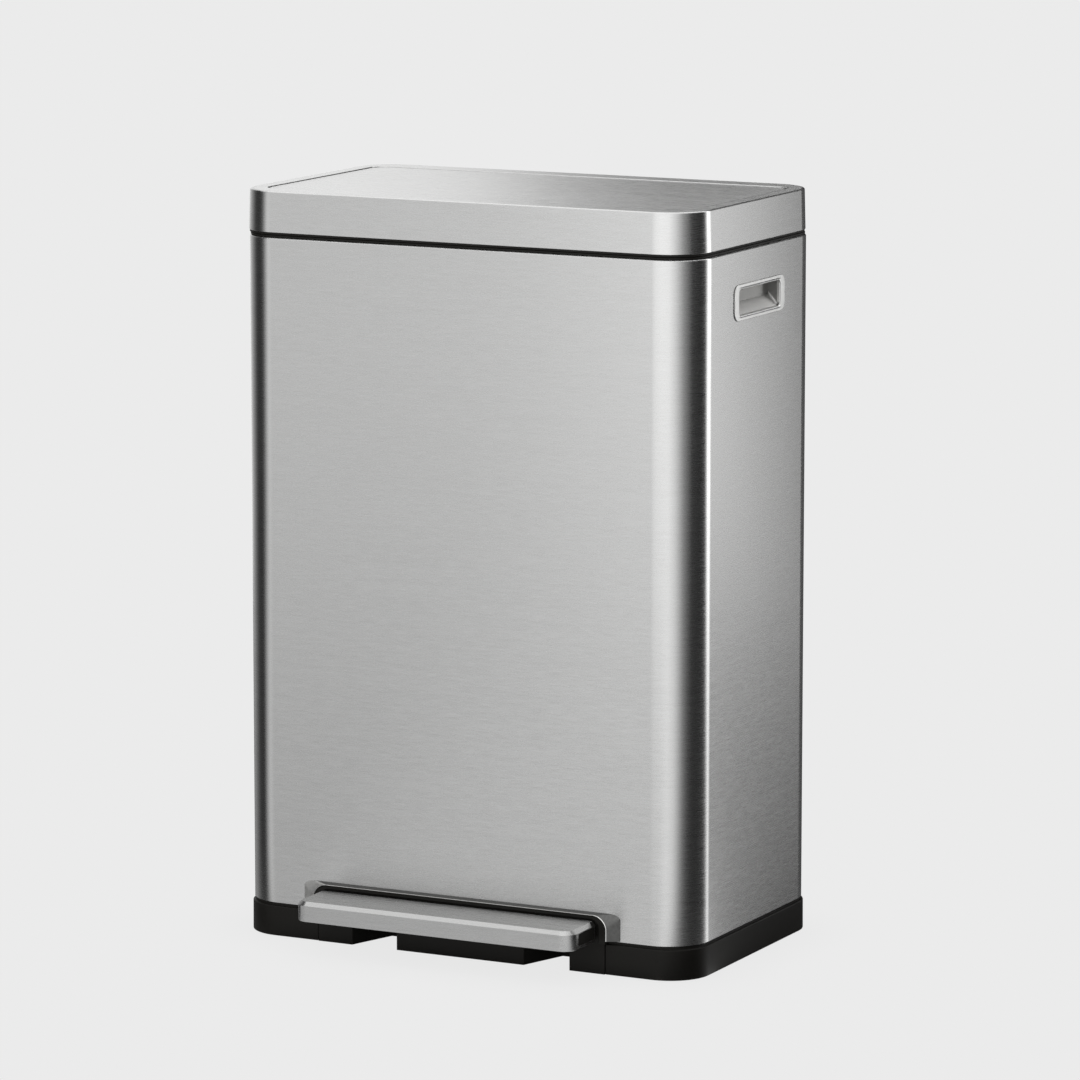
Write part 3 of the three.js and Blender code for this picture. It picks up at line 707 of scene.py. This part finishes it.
def turned_node(node, body, slot, edge, axis="Z", bore=0.0):
    """A plain round piece in the place of its CAD node, with softened ends and a bore if it has one."""
    low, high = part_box(node)
    size = high - low
    radius, half = (size.y / 2, size.x / 2) if axis == "X" else (size.x / 2, size.z / 2)
    ends = [(radius, -half, edge), (radius, half, edge)]
    if bore:
        profile = [(bore, -half, edge / 2), *ends, (bore, half, edge / 2)]
    else:
        profile = [(0, -half, 0), *ends, (0, half, 0)]
    piece = turned(node, profile, (low + high) / 2, axis, closed=bool(bore))
    finished(piece, body, slot, node)


def screw(node, body):
    """A pan head screw, head down, with a cross recess in the head."""
    low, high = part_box(node)
    head, thick, shank = 4 * MM, 2 * MM, 1.8 * MM
    centre = Vector(((low.x + high.x) / 2, (low.y + high.y) / 2, low.z))
    length = high.z - low.z
    profile = [
        (0, 0, 0),
        (head * 0.86, 0.15 * MM, 0.5 * MM),
        (head, thick, 0.2 * MM),
        (shank, thick, 0.2 * MM),
        (shank, length, 0.4 * MM),
        (0, length, 0),
    ]
    piece = turned(node, profile, centre, steps=32)
    long, thin, deep = 2.1 * MM, 0.45 * MM, 1.1 * MM
    for u, v in ((long, thin), (thin, long)):
        cut(piece, block("tool", centre - Vector((u, v, deep)), centre + Vector((u, v, deep))))
    finished(piece, body, "plain_steel", node)


def block_node(node, body, slot, edge, bore=0.0, line=None):
    """A block in the place of its CAD node, with rounded edges and an upright bore about a line."""
    low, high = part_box(node)
    piece = block(node, low, high, 2 * edge)
    if bore:
        cut(piece, cylinder("tool", bore, (-50 * MM, 50 * MM), line))
    finished(bevelled(piece, edge), body, slot, node)


def hinge_bracket(word):
    """Two lugs that hold the pin, on a common foot."""
    node = "hinge_bracket_" + word
    low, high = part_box(node)
    pin = centre_of("hinge_pin_" + word)
    lug = high.z - pin.z
    round_top = lug * 0.98
    foot_height, gap = 6 * MM, 15 * MM
    slab = (high.x - low.x - gap) / 2
    side_view = [
        (low.y, low.z, 0.3 * MM),
        (high.y, low.z, 0.3 * MM),
        (high.y, high.z, round_top),
        (pin.y - lug, high.z, round_top),
        (pin.y - lug, low.z + foot_height, 1.5 * MM),
        (low.y, low.z + foot_height, 1 * MM),
    ]
    left = prism(node, side_view, YZ, low.x, low.x + slab)
    right = prism("tool", side_view, YZ, high.x - slab, high.x)
    foot = block("tool", (low.x + 0.1 * MM, low.y + 0.1 * MM, low.z + 0.05 * MM),
                 (high.x - 0.1 * MM, high.y - 0.1 * MM, low.z + foot_height - 0.1 * MM))
    joined(left, right, foot)
    finished(bevelled(left, 0.4 * MM, 2), BIN, "black_plastic", node)


def lid_knuckle(word):
    """A barrel round the pin, with a leaf that joins it to the lid."""
    node = "lid_knuckle_" + word
    low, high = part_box(node)
    pin = centre_of("hinge_pin_" + word)
    lug = high.y - pin.y
    ends = [(lug, low.x, 0.5 * MM), (lug, high.x, 0.5 * MM)]
    barrel = turned(node, [(0, low.x, 0), *ends, (0, high.x, 0)], (0, pin.y, pin.z), "X")
    leaf = block("tool", (low.x + 0.05 * MM, low.y, high.z - 4.7 * MM),
                 (high.x - 0.05 * MM, pin.y + 3 * MM, high.z))
    joined(barrel, leaf)
    finished(bevelled(barrel, 0.35 * MM, 2), LID, "black_plastic", node)


# ------------------------------------------------------------------ lid

REAR_ZONE = 104 * MM + SHIFT  # the lid's inside is cut away behind this, for the hinges and rods
NOTCH_TOP = 650.5 * MM
UNDER_LID = 600 * MM  # below the lid, where its cuts start


def hinge_notch(word):
    pin = centre_of("hinge_pin_" + word)
    half = 18 * MM
    return block("tool", (pin.x - half, REAR_ZONE, UNDER_LID), (pin.x + half, CLEAR, NOTCH_TOP))


def lid_frame():
    """The lid's skirt and its narrow top flange, which ends in a channel round the panel."""
    area = area_of("lid_frame")
    bottom, top = lid_low.z, lid_high.z
    draft, crown = 0.9 * MM, 1.5 * MM
    panel, panel_corner = grown(area_of("lid_panel"), 0.45 * MM), 12.3 * MM
    lower = top - 3.2 * MM
    skirt = softened([
        (SHEET + draft, top - SHEET, 0),
        (SHEET, bottom, 0.25 * MM),
        (0, bottom, 0.45 * MM),
        (draft, top, crown),
        (5 * MM, top, 0),
    ])
    inner = softened([
        (2 * MM, top, 0),
        (0, top, 0.55 * MM),
        (0, lower, 0.2 * MM),
        (SHEET, lower, 0.2 * MM),
        (SHEET, top - SHEET, 0.3 * MM),
        (3 * MM, top - SHEET, 0),
    ])
    loops = [loop(grown(area, -a), BODY_CORNER - a, z) for a, z in skirt]
    loops += [loop(grown(panel, a), panel_corner + a, z) for a, z in inner]
    shell = skin("lid_frame", loops, wrap=True)
    cut(shell, *(hinge_notch(word) for word in SIDES))
    finished(shell, LID, "brushed_steel", "lid_frame")
    shell.data.materials.append(MATERIALS["brushed_steel.top"])
    for polygon in shell.data.polygons:
        flat = abs(polygon.normal.z) > 0.8 and polygon.center.z > top - 0.5 * MM
        polygon.material_index = 1 if flat else 0


def lid_panel():
    inset, corner = 12 * MM, 15.5 * MM
    bottom, top = panel_low.z, panel_high.z
    profile = [(inset, bottom, 0), (0, bottom, 0.3 * MM), (0, top, 0.7 * MM), (inset, top, 0)]
    panel = swept("lid_panel", area_of("lid_panel"), corner, profile)
    finished(panel, LID, "brushed_steel.top", "lid_panel")


def lid_liner():
    """The black tray inside the lid, with a ledge that is left out where the bumpers and rods are."""
    bottom, top, corner = liner_low.z, liner_high.z, 34.7 * MM
    plate, wall, ledge = 2.8 * MM, 2.5 * MM, 9 * MM
    ledge_low, ledge_high = bottom + 3.9 * MM, bottom + 5.9 * MM
    profile = [
        (12 * MM, top, 0),
        (0.6 * MM, top, 0.6 * MM),
        (0, bottom, 0.5 * MM),
        (wall, bottom, 0.5 * MM),
        (wall, ledge_low, 0.4 * MM),
        (ledge, ledge_low, 0.4 * MM),
        (ledge, ledge_high, 0.4 * MM),
        (wall, ledge_high, 0.8 * MM),
        (wall, top - plate, 3 * MM),
        (14 * MM, top - plate, 0),
    ]
    liner = swept("lid_liner", area_of("lid_liner"), corner, profile)
    relief = block("tool", (-CLEAR, REAR_ZONE, UNDER_LID), (CLEAR, CLEAR, bottom + 2.8 * MM))
    bump = abs(centre_of("lid_bumper_right").x)
    ledge_gap = block("tool", (-bump, 60 * MM + SHIFT, UNDER_LID),
                      (bump, 122 * MM + SHIFT, ledge_high + 1 * MM))
    cut(liner, relief, ledge_gap, *(hinge_notch(word) for word in SIDES))
    finished(liner, LID, "black_plastic", "lid_liner")


def lid_lever(word):
    node = "lid_lever_" + word
    low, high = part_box(node)
    y, half = (low.y + high.y) / 2, 5 * MM
    side_view = [
        (y - half, low.z, 1 * MM),
        (y + half, low.z, 1 * MM),
        (high.y, high.z, 0.2 * MM),
        (low.y, high.z, 0.2 * MM),
    ]
    lever = prism(node, side_view, YZ, low.x, high.x)
    finished(bevelled(lever, 0.4 * MM, 2), LID, "plain_steel", node)


# ------------------------------------------------------------------ pedal

def pedal_cover():
    """The steel bar: a pressed cover with a chamfer round its top, larger corners in front than behind."""
    area = area_of("pedal_cover")
    low, high = bar_low.z, bar_high.z
    front, rear = 12 * MM, 5 * MM
    chamfer, wall, roof = 3.3 * MM, 2.1 * MM, 2 * MM
    profile = [
        (wall + 0.8 * MM, low + 1.2 * MM, 0),
        (wall, low, 0.5 * MM),
        (0.15 * MM, low, 0.7 * MM),
        (0, high - chamfer, 0.35 * MM),
        (chamfer, high, 0.45 * MM),
        (10 * MM, high, 0),
    ]
    inside = [(20 * MM, high - roof), (wall + 1 * MM, high - roof), (wall, high - roof - 1 * MM)]
    loops = [loop(grown(area, -a), front - a, z, rear=rear - a) for a, z in [*inside, *softened(profile)]]
    finished(skin("pedal_cover", loops), PEDAL, "brushed_steel.bar", "pedal_cover")


def pedal_cap(word):
    """The black end of the bar, set in its steel lip."""
    node = "pedal_cap_" + word
    side = SIDES[word]
    low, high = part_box(node)
    area, corner = (low.y + 0.3 * MM, high.y - 0.2 * MM, low.z + 0.2 * MM, high.z - 0.2 * MM), 1.6 * MM
    soft = 0.3 * MM
    loops = [loop(area, corner, side * (bar_high.x - 1.0 * MM), plane=YZ),
             loop(grown(area, -soft), corner - soft, side * (bar_high.x + 0.05 * MM), plane=YZ)]
    finished(skin(node, loops), PEDAL, "black_plastic", node)


def pedal_core():
    low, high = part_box("pedal_core")
    inset, edge, corner = 6 * MM, 0.8 * MM, 9.5 * MM
    profile = [(inset, low.z, 0), (0, low.z, edge), (0, high.z, edge), (inset, high.z, 0)]
    core = swept("pedal_core", area_of("pedal_core"), corner, profile)
    finished(core, PEDAL, "black_plastic", "pedal_core")


def pedal_arm(word):
    """A flat bar from the pedal down to the axle's height and back to the rods, with an eye for the axle."""
    node = "pedal_arm_" + word
    low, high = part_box(node)
    axle = centre_of("pedal_axle")
    half, eye, shy = 5 * MM, 9 * MM, 0.02 * MM
    bottom, top = axle.z - half, axle.z + half
    bend = -118 * MM + SHIFT
    front_foot = 32 * MM
    side_view = [
        (low.y, front_foot, 1 * MM),
        (low.y + 24 * MM, front_foot, 6 * MM),
        (bend, bottom, 6 * MM),
        (high.y, bottom, 4 * MM),
        (high.y, top, 4 * MM),
        (bend, top, 6 * MM),
        (low.y + 30 * MM, high.z, 6 * MM),
        (low.y, high.z, 1 * MM),
    ]
    arm = prism(node, side_view, YZ, low.x, high.x)
    joined(arm, cylinder("tool", eye, (low.x + shy, high.x - shy), (0, axle.y, axle.z), "X"))
    finished(bevelled(arm, 0.4 * MM, 2), PEDAL, "plain_steel", node)


# ------------------------------------------------------------------ assembly

PIN_HOLE, ROD_HOLE, DAMPER_HOLE = 4.1 * MM, 3.3 * MM, 8.1 * MM

body_shell()
body_rim()
base_moulding()
pedal_surround()
pedal_bezel()
inner_bucket()
lid_frame()
lid_panel()
lid_liner()
pedal_cover()
pedal_core()

for word in SIDES:
    handle_cup(word)
    pedal_cap(word)
    pedal_arm(word)
    hinge_bracket(word)
    lid_knuckle(word)
    lid_lever(word)
    screw("hinge_screw_" + word, BIN)
    screw("bearing_screw_" + word, BIN)
    turned_node("hinge_pin_" + word, BIN, "plain_steel", 0.5 * MM, "X")
    turned_node("axle_clip_" + word, BIN, "plain_steel", 0.3 * MM, "X", bore=PIN_HOLE)
    block_node("axle_bearing_" + word, BIN, "grey_plastic", 0.8 * MM)
    block_node("rod_guide_" + word, BIN, "grey_plastic", 0.8 * MM, ROD_HOLE, centre_of("push_rod_" + word))
    turned_node("arm_bush_" + word, PEDAL, "grey_plastic", 0.4 * MM, "X", bore=PIN_HOLE)
    turned_node("push_rod_" + word, RODS, "plain_steel", 0.6 * MM)
    turned_node("rod_cap_" + word, RODS, "black_plastic", 1.2 * MM)
    turned_node("lid_bumper_" + word, LID, "rubber", 0.8 * MM)
    for end in ("front", "rear"):
        turned_node(f"foot_{end}_{word}", BIN, "rubber", 0.7 * MM)

turned_node("pedal_axle", BIN, "plain_steel", 0.7 * MM, "X")
turned_node("pedal_crossbar", PEDAL, "plain_steel", 0.7 * MM, "X")
turned_node("damper_cylinder", BIN, "black_plastic", 1.5 * MM)
turned_node("damper_rod", RODS, "plain_steel", 0.4 * MM)
block_node("rod_bridge", RODS, "plain_steel", 0.6 * MM)
for level in ("lower", "upper"):
    block_node("damper_bracket_" + level, BIN, "grey_plastic", 0.8 * MM, DAMPER_HOLE,
               centre_of("damper_cylinder"))
for number in range(1, 5):
    screw(f"liner_screw_{number}", LID)


# ------------------------------------------------------------------ studio

BACKGROUND = 0.831  # the plain pale tone behind the bin
WORLD_LIGHT = 0.5  # what reaches the bin from outside the tent
TENT_RADIUS, TENT_FOOT, TENT_HEIGHT = 1.5, 0.07, 1.8
TENT_STEPS = 96
TENT_STRENGTH = (0.80, 0.72)  # at the floor and at the top of the tent
FLOOR_STRENGTH = (1, 1)
CEILING = 1.35
FLOOR_HALF = 40
CONTACT_REACH, CONTACT_TONE = 0.06, 0.94  # how far the bin darkens the floor, and to what share
# Brightness of the light tent by its direction from the bin: degrees from -Y towards +X.
TENT_BANDS = (
    (-180, 0.03), (-159, 0.03), (-155, 0.30), (-150, 1.15), (-144, 1.42), (-133, 1.20), (-116, 0.75),
    (-100, 0.38), (-93, 0.22), (-84, 0.06), (-68, 0.05), (-60, 0.14), (-54, 0.55), (-46, 1.18),
    (-36, 1.00), (-24, 1.12), (-17, 1.45), (-8, 1.72), (8, 1.85), (26, 1.75), (42, 1.22),
    (60, 0.52), (80, 0.07), (104, 0.02), (118, 0.05), (124, 1.20), (129, 3.00), (138, 3.00),
    (141.5, 1.25), (144, 1.00), (146, 1.60), (151, 0.12),
)
# The same for the floor's painted bounce light: to all but camera rays the floor glows in bands, by its
# direction from the nearer front corner.
FRONT_CORNER = (0.18, 0.12)
FLOOR_BANDS = (
    (-180, 0.10), (-150, 0.20), (-120, 0.30), (-104, 0.15), (-89, 0.04), (-69, 0.04), (-62, 0.50),
    (-52, 0.85), (-40, 0.50), (-20, 0.52), (0, 0.68), (20, 0.90), (38, 0.90), (50, 0.60), (62, 0.20),
    (74, 0.03), (132, 0.03), (139, 0.50), (144, 1.50), (148, 1.00), (152, 0.30), (158, 0.18),
    (166, 0.08),
)


CAMERA_PLACE = (2.308, -4.541 + SHIFT, 1.193)
CAMERA_AZIMUTH, CAMERA_PITCH = math.radians(26.825), math.radians(-9.42)
CAMERA_LENS, CAMERA_SENSOR = 196.5, 36  # millimetres


def camera_only(nodes, links, seen, unseen):
    """One shader for what the camera sees directly, and another for all other light."""
    path = nodes.new("ShaderNodeLightPath")
    mix = nodes.new("ShaderNodeMixShader")
    links.new(path.outputs["Is Camera Ray"], mix.inputs["Fac"])
    links.new(unseen, mix.inputs[1])
    links.new(seen, mix.inputs[2])
    return mix.outputs["Shader"]


def banded(nodes, links, bands, strength, corner=(0, 0)):
    """Light whose brightness goes by its direction from the middle of the bin, or from the nearer corner."""
    place = nodes.new("ShaderNodeTexCoord")
    split = nodes.new("ShaderNodeSeparateXYZ")
    links.new(place.outputs["Object"], split.inputs["Vector"])
    held = nodes.new("ShaderNodeClamp")
    held.inputs["Min"].default_value = -corner[0]
    held.inputs["Max"].default_value = corner[0]
    links.new(split.outputs["X"], held.inputs["Value"])
    across = nodes.new("ShaderNodeMath")
    across.operation = "SUBTRACT"
    links.new(split.outputs["X"], across.inputs[0])
    links.new(held.outputs["Result"], across.inputs[1])
    forward = nodes.new("ShaderNodeMath")
    forward.operation = "MULTIPLY_ADD"
    forward.inputs[1].default_value = -1
    forward.inputs[2].default_value = -corner[1]
    links.new(split.outputs["Y"], forward.inputs[0])
    angle = nodes.new("ShaderNodeMath")
    angle.operation = "ARCTAN2"
    links.new(across.outputs[0], angle.inputs[0])
    links.new(forward.outputs[0], angle.inputs[1])
    share = nodes.new("ShaderNodeMapRange")
    share.inputs["From Min"].default_value = -math.pi
    share.inputs["From Max"].default_value = math.pi
    links.new(angle.outputs[0], share.inputs["Value"])
    ramp = nodes.new("ShaderNodeValToRGB")
    brightest = max(value for _, value in bands)
    elements = ramp.color_ramp.elements
    while len(elements) < len(bands):
        elements.new(0.5)
    for element, (degrees, value) in zip(elements, bands):
        element.position = (degrees + 180) / 360
        element.color = (*[value / brightest] * 3, 1)
    links.new(share.outputs["Result"], ramp.inputs["Fac"])
    height = nodes.new("ShaderNodeMapRange")
    height.inputs["From Max"].default_value = TENT_HEIGHT
    height.inputs["To Min"].default_value = strength[0] * brightest
    height.inputs["To Max"].default_value = strength[1] * brightest
    links.new(split.outputs["Z"], height.inputs["Value"])
    glow = nodes.new("ShaderNodeEmission")
    links.new(ramp.outputs["Color"], glow.inputs["Color"])
    links.new(height.outputs["Result"], glow.inputs["Strength"])
    return glow.outputs["Emission"]


def stage_material(name):
    material = bpy.data.materials.new(name)
    material.use_nodes = True
    nodes, links = material.node_tree.nodes, material.node_tree.links
    nodes.clear()
    return material, nodes, links, nodes.new("ShaderNodeOutputMaterial").inputs["Surface"]


def studio_floor():
    half = FLOOR_HALF
    corners = [(-half, -half, 0), (half, -half, 0), (half, half, 0), (-half, half, 0)]
    mesh = bpy.data.meshes.new("floor")
    mesh.from_pydata(corners, [], [(0, 1, 2, 3)])
    floor = new_piece("floor", mesh)
    material, nodes, links, surface = stage_material("floor")
    # The camera sees the floor glow at one even tone, with a painted contact shadow: ambient occlusion
    # darkens it near the bin.
    occlusion = nodes.new("ShaderNodeAmbientOcclusion")
    occlusion.samples = 8
    occlusion.inputs["Distance"].default_value = CONTACT_REACH
    tone = nodes.new("ShaderNodeMapRange")
    tone.inputs["To Min"].default_value = CONTACT_TONE * BACKGROUND
    tone.inputs["To Max"].default_value = BACKGROUND
    links.new(occlusion.outputs["AO"], tone.inputs["Value"])
    seen = nodes.new("ShaderNodeEmission")
    links.new(tone.outputs["Result"], seen.inputs["Strength"])
    unseen = banded(nodes, links, FLOOR_BANDS, FLOOR_STRENGTH, FRONT_CORNER)
    links.new(camera_only(nodes, links, seen.outputs["Emission"], unseen), surface)
    mesh.materials.append(material)


def light_tent():
    """A round tent of soft light with dark gaps in it. It is seen in the steel, and not by the camera."""
    steps = TENT_STEPS
    points = [(x, y, z) for z in (TENT_FOOT, TENT_HEIGHT) for x, y in circle(TENT_RADIUS, steps)]
    walls = [(k, (k + 1) % steps, steps + (k + 1) % steps, steps + k) for k in range(steps)]
    mesh = bpy.data.meshes.new("light_tent")
    mesh.from_pydata(points, [], [*walls, tuple(range(steps, 2 * steps))])
    tent = new_piece("light_tent", mesh)
    tent.visible_camera = False
    material, nodes, links, surface = stage_material("light_tent")
    links.new(banded(nodes, links, TENT_BANDS, TENT_STRENGTH), surface)
    mesh.materials.append(material)
    material, nodes, links, surface = stage_material("light_ceiling")
    glow = nodes.new("ShaderNodeEmission")
    glow.inputs["Strength"].default_value = CEILING
    links.new(glow.outputs["Emission"], surface)
    mesh.materials.append(material)
    mesh.polygons[-1].material_index = 1


def world():
    made = bpy.data.worlds.new("studio")
    bpy.context.scene.world = made
    made.use_nodes = True
    nodes, links = made.node_tree.nodes, made.node_tree.links
    nodes.clear()
    seen = nodes.new("ShaderNodeBackground")
    seen.inputs["Strength"].default_value = BACKGROUND
    unseen = nodes.new("ShaderNodeBackground")
    unseen.inputs["Strength"].default_value = WORLD_LIGHT
    output = nodes.new("ShaderNodeOutputWorld")
    links.new(camera_only(nodes, links, seen.outputs[0], unseen.outputs[0]), output.inputs["Surface"])


def camera():
    data = bpy.data.cameras.new("camera")
    data.lens = CAMERA_LENS
    data.sensor_width = CAMERA_SENSOR
    eye = bpy.data.objects.new("camera", data)
    bpy.context.scene.collection.objects.link(eye)
    eye.location = CAMERA_PLACE
    eye.rotation_euler = (math.pi / 2 + CAMERA_PITCH, 0, CAMERA_AZIMUTH)
    bpy.context.scene.camera = eye


studio_floor()
light_tent()
world()
camera()
bpy.context.scene.view_settings.view_transform = "Standard"
